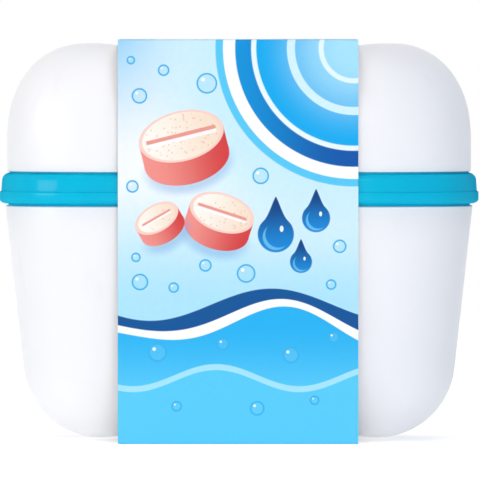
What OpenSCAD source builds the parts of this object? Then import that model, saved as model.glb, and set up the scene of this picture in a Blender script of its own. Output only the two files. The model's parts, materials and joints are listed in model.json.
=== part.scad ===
// Denture case: a two-lobed soaking box with a hinged domed lid, a stepped ring at
// the joint, a slotted lift-out basket with a bail, and a card sleeve round the middle.
// Millimetres, +Z up, front towards -Y. The origin is under the middle of the whole.

/* [Case] */
// Width over the lower ring, the widest piece
case_w = 96; // [84:1:120]
// Depth over the lower ring, before the middle is pinched in
case_d = 80; // [72:1:96]
// Squareness of the plan: 2 is an ellipse, more is squarer
plan_power = 3.2; // [2.8:0.1:3.8]
// How far the middle of the front and of the back is pinched in
pinch = 5; // [3.5:0.5:6]
// How far the middle of the top and of the bottom dips
dip = 5; // [3:0.5:6]
// Half width of the valley between the two lobes
valley_half = 30; // [26:1:34]
// Wall of the tub and of the lid
wall = 1.8; // [1.4:0.1:2.2]

/* [Tub] */
// Height of the tub from its lowest point to its shoulder
tub_h = 46.75; // [42:0.25:60]
// How far the tub's wall lies inside the lower ring
tub_inset = 1.2; // [0.9:0.1:1.6]
// Draft of the tub's wall, in degrees
tub_draft = 6.2; // [4:0.1:8]
// Radius of the tub's bottom corner
tub_corner_r = 15.6; // [12:0.2:18]
// Height of the neck above the shoulder
tub_neck_h = 2.5; // [2.2:0.1:2.6]

/* [Rings] */
// Height of the lower ring
lower_ring_h = 2.7; // [2.7:0.1:4]
// Height of the upper ring
upper_ring_h = 3.9; // [3.6:0.1:5]
// How far the upper ring lies inside the lower one
ring_step = 0.5; // [0.3:0.1:0.8]
// Step from a shell's wall in to its neck
neck_step = 0.7; // [0.5:0.1:0.9]
// Clearance of a neck in its ring
neck_fit = 0.1; // [0.05:0.05:0.2]
// Rounding under the lower ring
lower_round = 0.8; // [0.4:0.1:1]
// Rounding on top of the upper ring
upper_round = 1.2; // [0.8:0.1:1.3]

/* [Lid] */
// Height of the lid's shell above its ring
lid_h = 25.7; // [22:0.1:36]
// How far the lid's wall lies inside the lower ring
lid_inset = 1.5; // [1.3:0.1:1.8]
// Height of the upright part of the lid's wall
lid_wall_h = 6.4; // [4:0.2:9]
// Sideways run of the lid's rounded corner
lid_corner_run = 16.2; // [12:0.2:18]
// Squareness of the lid's rounded corner
lid_corner_power = 2.2; // [2:0.1:2.6]
// Depth of the lid's neck inside the upper ring
lid_neck_h = 1.9; // [1.5:0.1:2.2]

/* [Hinge] */
// Radius of a hinge knuckle
knuckle_r = 1.8; // [1.6:0.1:2]
// Length of each knuckle
knuckle_l = 3.3; // [2.6:0.1:3.4]
// Gap between two knuckles
knuckle_gap = 0.3; // [0.2:0.05:0.5]
// Distance from the middle to the first knuckle of each pair
hinge_inset = 3; // [2:0.5:3.5]
// Gap from the upper ring's deepest point to the hinge's axis
hinge_reach = 1.2; // [1:0.1:2]
// Radius of a hinge pin
pin_r = 0.8; // [0.6:0.05:0.9]
// Running clearance of the pins, on the radius
pin_clearance = 0.05; // [0.02:0.01:0.08]

/* [Catch] */
// Width of the thumb tab on the lid
tab_w = 16; // [12:1:20]
// Width of the catch's tongue
catch_w = 10; // [6:1:11]
// Thickness of the catch's tongue
catch_t = 1.2; // [1:0.1:1.4]
// Depth of the bead that holds under the tub's rib
bead_depth = 0.6; // [0.4:0.1:0.8]
// Height of the bead and of the rib
bead_h = 0.9; // [0.8:0.1:1]
// Gap between the bead and the rib
catch_gap = 0.15; // [0.1:0.05:0.2]

/* [Basket] */
// Gap between the basket and the tub's wall
basket_gap = 1.6; // [1.2:0.1:3]
// Wall of the basket
basket_wall = 1.3; // [1:0.1:1.6]
// Thickness of the basket's flange
flange_t = 1.2; // [1:0.1:1.2]
// Rise of the basket for each radian that the lid opens
lift_per_radian = 25; // [20:1:25]
// Depth of the basket below its flange
basket_depth = 36; // [26:1:38]
// Radius of the basket's bottom corner
basket_corner_r = 8; // [5:0.5:10]
// Height of the solid foot of the wall between the slots
basket_foot_h = 3; // [2:0.5:5]

/* [Handle] */
// Length of the bail from its pivot to the middle of its grip
bail_l = 15; // [12:0.5:15]
// Thickness of the bail sideways
bail_t = 2; // [1.6:0.1:2.4]
// Width of the bail's strip
bail_w = 2.6; // [2.2:0.1:2.6]
// Radius of the bail's pivot pins
bail_pin_r = 1; // [0.8:0.05:1.1]
// Gap between the bail and its lugs
bail_gap = 0.3; // [0.2:0.05:0.4]
// Thickness of a lug
lug_t = 1.9; // [1.5:0.1:2]
// Radius of a lug's round head
lug_r = 2.2; // [2:0.1:2.4]
// Height of the pivot above the flange
lug_h = 2; // [1.8:0.1:2.4]

/* [Sleeve] */
// Width of the card sleeve
sleeve_w = 47.8; // [30:0.1:56]
// Gap from the sleeve to the top of the lid
sleeve_top_gap = 0.4; // [0.3:0.05:0.6]
// Thickness of the card
card_t = 0.4; // [0.3:0.05:0.6]
// Gap from the sleeve to the ring in front and to the knuckles behind
sleeve_gap = 0.2; // [0.15:0.05:0.4]
// How far the sleeve has slid towards +X
sleeve_shift = -0.2; // [-4:0.1:4]
// Height of the tub's lowest point above the table
tub_lift = 0.55; // [0.5:0.05:0.8]
// Width of the glued seam's overlap
seam_w = 9; // [6:1:14]

/* [Hidden] */

white = [0.93, 0.94, 0.96];
turquoise = [0.05, 0.72, 0.86];
card_blue = [0.35, 0.75, 0.95];
pin_grey = [0.75, 0.76, 0.78];

// Facets: columns round the case, rows down a corner and rings across a floor
columns = 72;
corner_rows = 8;
floor_shares = [0.84, 0.66, 0.48, 0.3, 0.14];

// Small edges and fits
edge_bevel = 0.3;
lid_bevel = 0.35;
pin_grip = 0.02;
flange_gap = 0.4;
lip_gap = 0.2;
socket_play = 0.1;
rib_depth = 1.3;
tongue_gap = 0.2;

// Heights of the main planes
shoulder_z = tub_lift + tub_h;
parting_z = shoulder_z + lower_ring_h;
lid_z = parting_z + upper_ring_h;
neck_top_z = shoulder_z + tub_neck_h;
socket_z = lid_z - lid_neck_h - socket_play;
flange_z = neck_top_z;

// Insets from the lower ring's outline
tub_neck_inset = tub_inset + neck_step;
lid_neck_inset = lid_inset + neck_step;
ring_inner_inset = tub_neck_inset - neck_fit;
socket_inset = lid_neck_inset - neck_fit;
root_inset = (ring_step + ring_inner_inset) / 2 + 0.3;
tub_inner_inset = tub_inset + wall;
lid_inner_inset = lid_inset + wall;
flange_inset = ring_inner_inset + flange_gap;
lip_inset = lid_inner_inset + lip_gap;
basket_inset = tub_inner_inset + basket_gap;

// The plan: a superellipse, pinched in front and behind where the valley runs
function valley(x) = abs(x) < valley_half ? pow(cos(90 * x / valley_half), 2) : 0;
function plan_radius(angle, inset) = pow(
    pow(abs(cos(angle)) / (case_w / 2 - inset), plan_power)
    + pow(abs(sin(angle)) / (case_d / 2 - inset), plan_power), -1 / plan_power);
function plan_point(angle, inset) =
    let (r = plan_radius(angle, inset), x = r * cos(angle))
    [x, r * sin(angle) - sign(sin(angle)) * pinch * valley(x)];
function plan(inset) = [for (i = [0 : columns - 1]) plan_point(i * 360 / columns, inset)];
function crown(inset) = max([for (p = plan(inset)) p[1]]);

// The hinge, the sleeve and the shift that centres the whole over the origin
hinge_y = crown(ring_step) + hinge_reach;
front_face = case_d / 2 - pinch;
leaf_y = front_face - 1;
leaf_play = 0.1;
rib_face = front_face + rib_depth;
tongue_in = rib_face + tongue_gap;
tongue_out = tongue_in + catch_t;
tab_out = tongue_out + 0.5;
tab_z = parting_z + 0.3;
tab_h = upper_ring_h - 0.6;
tab_corner = 2.5;
rib_drop = 0.1;
bead_z = parting_z - rib_drop - bead_h - catch_gap - bead_h;
tongue_z = bead_z - 0.3;
sleeve_h = lid_z + lid_h + sleeve_top_gap + card_t;
sleeve_front = max(crown(0), tab_out) + sleeve_gap + card_t;
sleeve_back = hinge_y + knuckle_r + sleeve_gap + card_t;
centre_shift = (sleeve_front - sleeve_back) / 2;
hinge_span = 3 * knuckle_l + 2 * knuckle_gap;
leaf_t = knuckle_r - 0.2;
pin_head_r = pin_r + 0.5;
pin_head_t = 0.6;
fold_r = card_t + 0.3;

// The bail, its lugs and the slots of the basket
lug_x = case_w / 2 - lid_inner_inset - 0.4 - lug_t;
bail_x = lug_x - bail_gap;
bail_corner = 8;
grip_r = bail_w / 2 + 0.4;
grip_l = 24;
pivot_z = flange_z + flange_t + lug_h;
flange_back = hinge_y - lift_per_radian;
slot_zone = basket_depth - basket_corner_r - basket_foot_h - 3;
slot_tops = [flange_z - 3, flange_z - 3 - slot_zone / 2 - 1];
slot_ends = [slot_tops[0] - slot_zone / 2 + 1, slot_tops[1] - slot_zone / 2 + 1];

// One ring of a shell: inset of its outline, height, share of the outline's size, rise of the valley
function ring(row) = [for (p = plan(row[0]))
    [row[2] * p[0], row[2] * p[1], row[1] + row[3] * valley(row[2] * p[0])]];

// A closed shell from a loop of rows that starts and ends beside the rim, with a hub in each floor
function quad(a, b, c, d) = [[a, c, b], [a, d, c]];
function row_faces(r, s) = [for (i = [0 : columns - 1])
    let (j = (i + 1) % columns)
    each quad(r * columns + i, s * columns + i, s * columns + j, r * columns + j)];
module shell(outer, inner) {
    n_out = len(outer);
    n_in = len(inner);
    n = n_out + n_in;
    points = concat([for (row = outer) each ring(row)], [for (row = inner) each ring(row)],
        [[0, 0, outer[n_out - 1][1] + outer[n_out - 1][3]], [0, 0, inner[n_in - 1][1] + inner[n_in - 1][3]]]);
    faces = concat(
        [for (r = [0 : n_out - 2]) each row_faces(r, r + 1)],
        [for (r = [n_out : n - 2]) each row_faces(r + 1, r)],
        row_faces(n_out, 0),
        [for (i = [0 : columns - 1]) [(n_out - 1) * columns + i,
                                      (n_out - 1) * columns + (i + 1) % columns, n * columns]],
        [for (i = [0 : columns - 1]) [(n - 1) * columns + (i + 1) % columns,
                                      (n - 1) * columns + i, n * columns + 1]]);
    polyhedron(points, faces);
}

// Rows of the tub: a drafted wall, tangent to a round corner, then the floor
function corner_inset(r) = r * cos(tub_draft)
    + (tub_h - r + r * sin(tub_draft)) * tan(tub_draft);
function tub_rows(t) =
    let (r = tub_corner_r - t, base = tub_inset + t, centre = corner_inset(tub_corner_r))
    concat(
        [for (k = [0 : corner_rows]) let (a = tub_draft + (90 - tub_draft) * k / corner_rows)
            [base - t + centre - r * cos(a), tub_lift + tub_corner_r - r * sin(a), 1, dip * pow(sin(a), 4)]],
        [for (s = floor_shares) [base - t + centre, tub_lift + t, s, dip]]);

// Rows of the lid: an upright wall, a superelliptic corner, then the roof
function lid_rows(t) =
    let (run = lid_corner_run - t, rise = lid_h - lid_wall_h - t, start = lid_z + lid_wall_h)
    concat(
        [for (k = [0 : corner_rows]) let (a = 90 * k / corner_rows)
            [lid_inset + t + run * (1 - pow(cos(a), 2 / lid_corner_power)),
             start + rise * pow(sin(a), 2 / lid_corner_power), 1, -dip * pow(sin(a), 4)]],
        [for (s = floor_shares) [lid_inset + t + run, start + rise, s, -dip]]);

module place() translate([0, centre_shift, 0]) children();

module plan_slab(inset, z0, z1)
    translate([0, 0, z0]) linear_extrude(z1 - z0) polygon(plan(inset));

// Lower white shell: necked rim, drafted wall, round corner, two-lobed floor
module tub() color(white) place()
    shell(
        concat([[tub_neck_inset, neck_top_z, 1, 0], [tub_neck_inset, shoulder_z, 1, 0],
                [tub_inset, shoulder_z, 1, 0]], tub_rows(0)),
        concat([[tub_inner_inset, neck_top_z, 1, 0]], tub_rows(wall)));

// Upper white shell, with a small bevel where it stands on its ring
module lid() color(white) place()
    shell(
        concat([[lid_neck_inset, lid_z - lid_neck_h, 1, 0], [lid_neck_inset, lid_z, 1, 0],
                [lid_inset + lid_bevel, lid_z, 1, 0], [lid_inset, lid_z + lid_bevel, 1, 0]],
            lid_rows(0)),
        concat([[lid_inner_inset, lid_z - lid_neck_h, 1, 0]], lid_rows(wall)));

// A ring swept round the plan from a loop of [inset, height] points
module band(section) {
    rows = [for (p = section) [p[0], p[1], 1, 0]];
    n = len(rows);
    polyhedron([for (row = rows) each ring(row)],
        [for (r = [0 : n - 1]) each row_faces(r, (r + 1) % n)]);
}

// A bored hinge knuckle with its leaf: side is -1 for the tub's half and 1 for the lid's
module knuckle(x, side, r) difference() {
    union() {
        translate([x, hinge_y, parting_z]) rotate([0, 90, 0])
            cylinder(r = knuckle_r, h = knuckle_l, $fn = 48);
        translate([x, leaf_y, parting_z + (side < 0 ? -leaf_t - leaf_play : leaf_play)])
            cube([knuckle_l, hinge_y - leaf_y, leaf_t]);
    }
    plan_slab(root_inset, parting_z - knuckle_r - 1, parting_z + knuckle_r + 1);
    translate([x - 1, hinge_y, parting_z]) rotate([0, 90, 0])
        cylinder(r = r, h = knuckle_l + 2, $fn = 48);
}

// Lower ring: two pairs of outer knuckles behind, and the catch rib in front
module tub_collar() color(turquoise) place() {
    band(concat([[edge_bevel, parting_z], [0, parting_z - edge_bevel]],
        [for (a = [0 : 22.5 : 90])
            [lower_round * (1 - cos(a)), shoulder_z + lower_round * (1 - sin(a))]],
        [[ring_inner_inset, shoulder_z], [ring_inner_inset, parting_z]]));
    for (s = [0, 1]) mirror([s, 0, 0])
        for (k = [0, 2]) knuckle(hinge_inset + k * (knuckle_l + knuckle_gap), -1, pin_r + pin_grip);
    difference() {
        translate([-catch_w / 2 + 1, -rib_face, parting_z - rib_drop - bead_h])
            cube([catch_w - 2, rib_face - leaf_y, bead_h]);
        plan_slab(root_inset, shoulder_z, parting_z);
    }
}

// Upper ring: middle knuckles behind, thumb tab with the catch's tongue in front
module lid_collar() color(turquoise) place() {
    band(concat(
        [for (a = [90 : -22.5 : 0])
            [ring_step + upper_round * (1 - cos(a)), lid_z - upper_round * (1 - sin(a))]],
        [[ring_step, parting_z + edge_bevel], [ring_step + edge_bevel, parting_z],
         [ring_inner_inset, parting_z], [ring_inner_inset, socket_z],
         [socket_inset, socket_z], [socket_inset, lid_z]]));
    for (s = [0, 1]) mirror([s, 0, 0])
        knuckle(hinge_inset + knuckle_l + knuckle_gap, 1, pin_r + pin_clearance);
    difference() {
        thumb_tab();
        plan_slab(root_inset, parting_z, lid_z);
    }
}
module thumb_tab() {
    translate([0, 0, tab_z]) linear_extrude(tab_h) difference() {
        translate([-tab_w / 2, -tab_out]) square([tab_w, tab_out - leaf_y]);
        for (s = [-1, 1]) translate([s * (tab_w / 2 - tab_corner), -tab_out + tab_corner])
            difference() {
                translate([s > 0 ? 0 : -tab_corner, -tab_corner]) square(tab_corner);
                circle(tab_corner, $fn = 48);
            }
    }
    translate([-catch_w / 2, -tongue_out, tongue_z])
        cube([catch_w, catch_t, tab_z + tab_h / 2 - tongue_z]);
    translate([-catch_w / 2 + 1, -tongue_in - catch_t / 2, bead_z])
        cube([catch_w - 2, bead_depth + catch_t / 2, bead_h]);
}

// Pins pressed through the outer knuckles, each with a low head at its outer end
module hinge_pin() translate([hinge_inset, hinge_y, parting_z]) rotate([0, 90, 0]) {
    cylinder(r = pin_r, h = hinge_span, $fn = 48);
    translate([0, 0, hinge_span]) cylinder(r = pin_head_r, h = pin_head_t, $fn = 48);
}
module hinge_pin_left() color(pin_grey) place() mirror([1, 0, 0]) hinge_pin();
module hinge_pin_right() color(pin_grey) place() hinge_pin();

// Rows of the basket's wall and floor, alike for its outside and its inside
function basket_rows(t) =
    let (r = basket_corner_r - t, z_low = flange_z - basket_depth + basket_corner_r,
         at = function(z) basket_inset + t + (flange_z - z) * tan(tub_draft))
    concat(
        [for (z = [flange_z, slot_tops[0], slot_ends[0], slot_tops[1], slot_ends[1]]) [at(z), z, 1, 0]],
        [for (k = [0 : 4]) let (a = tub_draft + (90 - tub_draft) * k / 4)
            [at(z_low) + r * (1 - cos(a)), z_low - r * sin(a), 1, 0]],
        [for (s = [0.86, 0.64, 0.54, 0.32, 0.2]) [at(z_low) + r, z_low - r, s, 0]]);
slot_rows = [1, 3, 10, 12];

// The strainer: every other column is open on the slotted rows
module strainer() {
    outer = basket_rows(0);
    inner = basket_rows(basket_wall);
    n = len(outer);
    rows = concat([[lip_inset, flange_z + flange_t, 1, 0], [lip_inset, flange_z, 1, 0]],
        outer, inner, [[basket_inset + basket_wall, flange_z + flange_t, 1, 0]]);
    top = 2 + 2 * n;
    points = concat([for (row = rows) each ring(row)],
        [[0, 0, outer[n - 1][1]], [0, 0, inner[n - 1][1]]]);
    hubs = (top + 1) * columns;
    open = function(r, i) i % 2 == 0 && len(search(r, slot_rows)) > 0;
    at = function(r, i) r * columns + i % columns;
    cell = function(r, i)
        let (p = [at(r, i), at(r + 1, i), at(r + 1, i + 1), at(r, i + 1)],
             q = [for (v = p) v + n * columns])
        open(r - 2, i)
        ? [for (e = [0 : 3]) let (f = (e + 1) % 4) each quad(p[e], p[f], q[f], q[e])]
        : concat(quad(p[0], p[1], p[2], p[3]), quad(q[1], q[0], q[3], q[2]));
    faces = concat(row_faces(0, 1), row_faces(1, 2),
        [for (r = [2 : n]) for (i = [0 : columns - 1]) each cell(r, i)],
        row_faces(2 + n, top), row_faces(top, 0),
        [for (i = [0 : columns - 1]) [at(n + 1, i), at(n + 1, i + 1), hubs]],
        [for (i = [0 : columns - 1]) [at(2 * n + 1, i + 1), at(2 * n + 1, i), hubs + 1]]);
    polyhedron(points, faces);
}

// The flange that hangs on the tub's neck. Behind flange_back the lid's neck swings, so it ends there.
module flange() difference() {
    plan_slab(flange_inset, flange_z, flange_z + flange_t);
    plan_slab(basket_inset + basket_wall / 2, flange_z - 1, flange_z + flange_t + 1);
    translate([-case_w / 2, flange_back, flange_z - 1]) cube([case_w, case_d, flange_t + 2]);
}

// One lug for the bail, standing on the flange
module lug() translate([lug_x, 0, 0]) difference() {
    union() {
        translate([0, 0, pivot_z]) rotate([0, 90, 0]) cylinder(r = lug_r, h = lug_t, $fn = 48);
        translate([0, -lug_r, flange_z + 0.4]) cube([lug_t, 2 * lug_r, pivot_z - flange_z - 0.4]);
    }
    translate([-1, 0, pivot_z]) rotate([0, 90, 0])
        cylinder(r = bail_pin_r + pin_clearance, h = lug_t + 2, $fn = 48);
}
module basket() color(turquoise) place() {
    strainer();
    flange();
    lug();
    mirror([1, 0, 0]) lug();
}

// A filled U in the plan, open towards the pivot
module filled_u(half, depth, r) {
    translate([-half, -depth + r]) square([2 * half, depth - r]);
    translate([-half + r, -depth]) square([2 * (half - r), depth]);
    for (s = [-1, 1]) translate([s * (half - r), -depth + r]) circle(r, $fn = 64);
}
module basket_handle() color(turquoise) place() translate([0, 0, pivot_z]) {
    translate([0, 0, -bail_w / 2]) linear_extrude(bail_w) difference() {
        filled_u(bail_x, bail_l + bail_t / 2, bail_corner);
        filled_u(bail_x - bail_t, bail_l - bail_t / 2, bail_corner - bail_t);
    }
    for (s = [0, 1]) mirror([s, 0, 0]) {
        translate([bail_x - bail_t, 0, 0]) rotate([0, 90, 0])
            cylinder(r = bail_w / 2, h = bail_t, $fn = 48);
        translate([bail_x, 0, 0]) rotate([0, 90, 0])
            cylinder(r = bail_pin_r, h = bail_gap + lug_t - 0.1, $fn = 48);
    }
    translate([-grip_l / 2, -bail_l, 0]) rotate([0, 90, 0]) cylinder(r = grip_r, h = grip_l, $fn = 48);
}

// A rectangle in the depth and height of the sleeve, with folded corners
module folded(y0, y1, z0, z1, r) {
    translate([y0 + r, z0]) square([y1 - y0 - 2 * r, z1 - z0]);
    translate([y0, z0 + r]) square([y1 - y0, z1 - z0 - 2 * r]);
    for (y = [y0 + r, y1 - r]) for (z = [z0 + r, z1 - r]) translate([y, z]) circle(r, $fn = 32);
}
module card_sleeve() color(card_blue) place()
    translate([sleeve_shift - sleeve_w / 2, 0, 0])
    rotate([90, 0, 90]) linear_extrude(sleeve_w) {
        difference() {
            folded(-sleeve_front, sleeve_back, 0, sleeve_h, fold_r);
            folded(card_t - sleeve_front, sleeve_back - card_t, card_t, sleeve_h - card_t,
                fold_r - card_t);
        }
        translate([sleeve_back - card_t - fold_r - seam_w, card_t / 2]) square([seam_w, card_t * 1.5]);
    }

tub();
tub_collar();
lid();
lid_collar();
hinge_pin_left();
hinge_pin_right();
basket();
basket_handle();
card_sleeve();
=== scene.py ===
"""Denture case: a two-lobed soaking box in white and turquoise, with its card sleeve on."""
import json
import math

import bmesh
import bpy
import numpy as np
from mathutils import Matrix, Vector


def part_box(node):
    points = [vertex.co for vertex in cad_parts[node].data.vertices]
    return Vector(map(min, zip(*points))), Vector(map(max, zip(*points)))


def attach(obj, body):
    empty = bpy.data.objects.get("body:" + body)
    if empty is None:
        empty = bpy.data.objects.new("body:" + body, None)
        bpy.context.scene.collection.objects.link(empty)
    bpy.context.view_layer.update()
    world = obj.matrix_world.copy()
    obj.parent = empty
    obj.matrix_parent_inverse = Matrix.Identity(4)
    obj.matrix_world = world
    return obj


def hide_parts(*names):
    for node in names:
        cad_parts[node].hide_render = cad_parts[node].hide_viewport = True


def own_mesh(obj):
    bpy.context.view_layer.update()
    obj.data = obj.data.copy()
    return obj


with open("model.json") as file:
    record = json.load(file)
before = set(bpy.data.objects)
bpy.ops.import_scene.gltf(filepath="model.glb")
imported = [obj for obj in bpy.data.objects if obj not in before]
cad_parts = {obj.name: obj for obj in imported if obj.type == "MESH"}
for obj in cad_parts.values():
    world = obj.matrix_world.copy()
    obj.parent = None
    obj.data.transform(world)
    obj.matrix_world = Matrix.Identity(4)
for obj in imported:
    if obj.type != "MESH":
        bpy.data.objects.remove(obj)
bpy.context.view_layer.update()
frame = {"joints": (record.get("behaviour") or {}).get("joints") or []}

# Camera. The photograph looks straight at the front from far away and a hair above the
# joint, so a long lens stands 4 m off and the whole width of the ring fills the frame.
MM = 0.001
ring_low, ring_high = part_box("tub_collar")
view_distance = 4.0
view_rise = math.radians(0.65)
view_span = 96.35 * MM
view_middle = Vector((0.18 * MM, 0, 40.1 * MM))
view_sensor = 36.0
near_limit = 0.5
far_limit = 40

camera = bpy.data.objects.new("camera", bpy.data.cameras.new("camera"))
bpy.context.scene.collection.objects.link(camera)
camera.data.sensor_width = view_sensor
camera.data.lens = view_sensor * view_distance / view_span
camera.data.clip_start = near_limit
camera.data.clip_end = far_limit
sight = Vector((0, -math.cos(view_rise), math.sin(view_rise)))
camera.location = view_middle + sight * view_distance
camera.rotation_euler = (math.pi / 2 - view_rise, 0, 0)
bpy.context.scene.camera = camera


# Tub. A white polypropylene moulding with a drafted wall, a big round bottom corner and
# two lobes with a shallow valley between them. Its neck plugs into the turquoise ring, and
# its shoulder is eased, so that a thin dark seam shows under the ring.
half_w = ring_high.x
half_d = 40 * MM
squareness = 3.2
pinch = 5 * MM
dip = 5 * MM
valley_half = 30 * MM
columns = 288
tub_low, tub_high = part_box("tub")
middle_y = (tub_low.y + tub_high.y) / 2
wall = 1.8 * MM
tub_inset = 1.2 * MM
neck_inset = 1.9 * MM
tub_draft = math.radians(6.2)
tub_corner = 15.6 * MM
shoulder_z = ring_low.z
shoulder_wide = 0.65 * MM
shoulder_high = 0.25 * MM
tub_seam = 0.12 * MM
tub_top = shoulder_z - tub_seam
neck_round = 0.3 * MM
level_shares = np.linspace(0.94, 0.06, 14)
crisp = math.radians(40)
white = (0.935, 0.94, 0.955)
white_cloud = (0.917, 0.923, 0.943)
white_rub = (0.87, 0.878, 0.905)


def valley(x):
    """Share of the valley between the lobes: the squared cosine of a quarter turn times
    x / valley_half, and nought outside."""
    inside = np.abs(x) < valley_half
    return np.where(inside, np.cos(np.pi / 2 * x / valley_half) ** 2, 0.0)


def plan(angle, inset):
    """The case's outline: radius 1 / (|cos/w|^n + |sin/d|^n)^(1/n) at each angle, with the half
    width and half depth less the inset, then the front and back drawn in by pinch times valley."""
    c, s = np.cos(angle), np.sin(angle)
    r = ((np.abs(c) / (half_w - inset)) ** squareness
         + (np.abs(s) / (half_d - inset)) ** squareness) ** (-1 / squareness)
    return r * c, r * s - np.sign(s) * pinch * valley(r * c)


def rings(rows):
    """Points on a grid of rows by columns round the plan. A row is inset, height, share, rise:
    share shrinks the outline towards the middle, and rise lifts the point times the valley."""
    inset, z, share, rise = (np.array(v)[:, None] for v in zip(*rows))
    angle = np.linspace(0, 2 * np.pi, columns, endpoint=False)[None, :]
    x, y = plan(angle, inset)
    x, y = x * share, y * share
    return np.stack([x, y + middle_y, z + rise * valley(x)], axis=-1)


def quads(rows, cols, wrap_rows=False):
    """Faces between neighbouring rows of a grid whose columns close on themselves."""
    r = np.arange(rows if wrap_rows else rows - 1)[:, None]
    c = np.arange(cols)[None, :]
    s, d = (r + 1) % rows, (c + 1) % cols
    return np.stack([r * cols + c, s * cols + c, s * cols + d, r * cols + d], -1).reshape(-1, 4)


def piece(name, points, faces):
    """A new object from points and faces: doubles merged, faces turned outwards, and smooth
    shaded but for its crisp edges."""
    mesh = bpy.data.meshes.new(name)
    mesh.from_pydata(np.asarray(points).reshape(-1, 3).tolist(), [], [list(f) for f in faces])
    mesh.validate()
    shape = bmesh.new()
    shape.from_mesh(mesh)
    bmesh.ops.remove_doubles(shape, verts=shape.verts, dist=1e-7)
    bmesh.ops.recalc_face_normals(shape, faces=shape.faces)
    shape.to_mesh(mesh)
    shape.free()
    mesh.shade_smooth()
    mesh.set_sharp_from_angle(angle=crisp)
    obj = bpy.data.objects.new(name, mesh)
    bpy.context.scene.collection.objects.link(obj)
    return obj


def arc(inset, z, radius, start, end, steps):
    """Rows along an arc about inset, z: angle 0 points outwards and 90 points up. A pair of radii
    makes it an ellipse, wide by high."""
    wide, high = radius if isinstance(radius, tuple) else (radius, radius)
    return [(inset - wide * math.cos(a), z + high * math.sin(a), 1, 0)
            for a in np.radians(np.linspace(start, end, steps))]


def tub_rows(t):
    """Rows down the tub's straight drafted wall, round its circular bottom corner and across its
    floor, a distance t inside its outer surface. The dip grows as the sine to the fourth power."""
    foot = tub_low.z
    run = tub_corner * math.cos(tub_draft) + (
        shoulder_z - foot - tub_corner + tub_corner * math.sin(tub_draft)) * math.tan(tub_draft)
    centre, z = tub_inset + run, foot + tub_corner
    turns = np.linspace(tub_draft, np.pi / 2, 22)
    r = tub_corner - t
    corner = [(centre - r * math.cos(a), z - r * math.sin(a), 1, dip * math.sin(a) ** 4) for a in turns]
    floor = [(centre, z - r, s, dip) for s in level_shares]
    top = (tub_inset + t, shoulder_z)
    wall_rows = [(top[0] + (corner[0][0] - top[0]) * k, top[1] + (corner[0][1] - top[1]) * k, 1, 0)
                 for k in (0.25, 0.5, 0.75)]
    return wall_rows + corner + floor


def shell(name, outer, inner, edge_rows):
    """A closed shell: the outer rows, the rim's edge rows and the inner rows as one grid, with a
    fan of triangles to a hub in the middle of each floor."""
    loop = outer[::-1] + edge_rows + inner
    grid = rings(loop)
    n = len(loop)
    hubs = [(0, middle_y, row[1] + row[3]) for row in (loop[0], loop[-1])]
    c = np.arange(columns)
    d = (c + 1) % columns
    first = np.stack([np.full(columns, n * columns), c, d], -1)
    end = (n - 1) * columns
    last = np.stack([np.full(columns, n * columns + 1), end + d, end + c], -1)
    points = np.vstack([grid.reshape(-1, 3), hubs])
    return piece(name, points, [*quads(n, columns).tolist(), *first.tolist(), *last.tolist()])


tub_outer = [(tub_inset, tub_top - shoulder_high, 1, 0)] + tub_rows(0)
tub_rim = (
    arc(tub_inset + shoulder_wide, tub_top - shoulder_high, (shoulder_wide, shoulder_high), 15, 90, 7)
    + [(neck_inset, tub_top, 1, 0), (neck_inset, tub_high.z - neck_round, 1, 0)]
    + arc(neck_inset + neck_round, tub_high.z - neck_round, neck_round, 15, 90, 4)
    + [(tub_inset + wall, tub_high.z, 1, 0)])
tub_inner = [(tub_inset + wall, shoulder_z, 1, 0)] + tub_rows(wall)
tub = shell("tub_shell", tub_outer, tub_inner, tub_rim)


class Wire:
    """A node socket in a shader, with the operators of plain maths on values."""

    def __init__(self, tree, socket=None):
        self.tree = tree
        self.socket = socket

    def node(self, kind, settings=None, inputs=None, out=0):
        """Adds a node: settings first, then the values or links of its inputs, by name or number."""
        made = self.tree.nodes.new("ShaderNode" + kind)
        for key, value in (settings or {}).items():
            setattr(made, key, value)
        for key, value in (inputs or {}).items():
            if isinstance(value, Wire):
                self.tree.links.new(value.socket, made.inputs[key])
            else:
                made.inputs[key].default_value = value
        return Wire(self.tree, made.outputs[out])

    def maths(self, operation, *others):
        """A maths operation on this value, and on the others after it."""
        return self.node("Math", {"operation": operation}, dict(enumerate((self, *others))))

    def __add__(self, other):
        return self.maths("ADD", other)

    def __sub__(self, other):
        return self.maths("SUBTRACT", other)

    def __rsub__(self, other):
        return self.node("Math", {"operation": "SUBTRACT"}, {0: other, 1: self})

    def __mul__(self, other):
        return self.maths("MULTIPLY", other)

    def __truediv__(self, other):
        return self.maths("DIVIDE", other)

    def __abs__(self):
        return self.maths("ABSOLUTE")

    __radd__ = __add__
    __rmul__ = __mul__

    def step(self, low, high):
        """0 below low, 1 above high and a smooth ramp between."""
        settings = {"interpolation_type": "SMOOTHSTEP"}
        inputs = {"Value": self, "From Min": low, "From Max": high}
        return self.node("MapRange", settings, inputs)

    def tint(self, share, below, above):
        """A colour mixed from below to above by share."""
        return self.node("Mix", {"data_type": "RGBA"}, {0: share, 6: below, 7: above}, out=2)


def material(name, **constants):
    """A new material with its Principled shader, and a Wire to add nodes with."""
    made = bpy.data.materials.new(name)
    made.use_nodes = True
    tree = made.node_tree
    shader = tree.nodes["Principled BSDF"]
    for key, value in constants.items():
        shader.inputs[key.replace("_", " ")].default_value = value
    return made, Wire(tree), shader


def noise(wire, scale, detail, stretch=(1, 1, 1)):
    """Noise on the object's own coordinates, in features of 1 / scale metres."""
    place = wire.node("TexCoord", out="Object")
    place = wire.node("Mapping", {}, {"Vector": place, "Scale": stretch})
    return wire.node("TexNoise", {}, {"Vector": place, "Scale": scale, "Detail": detail})


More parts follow.
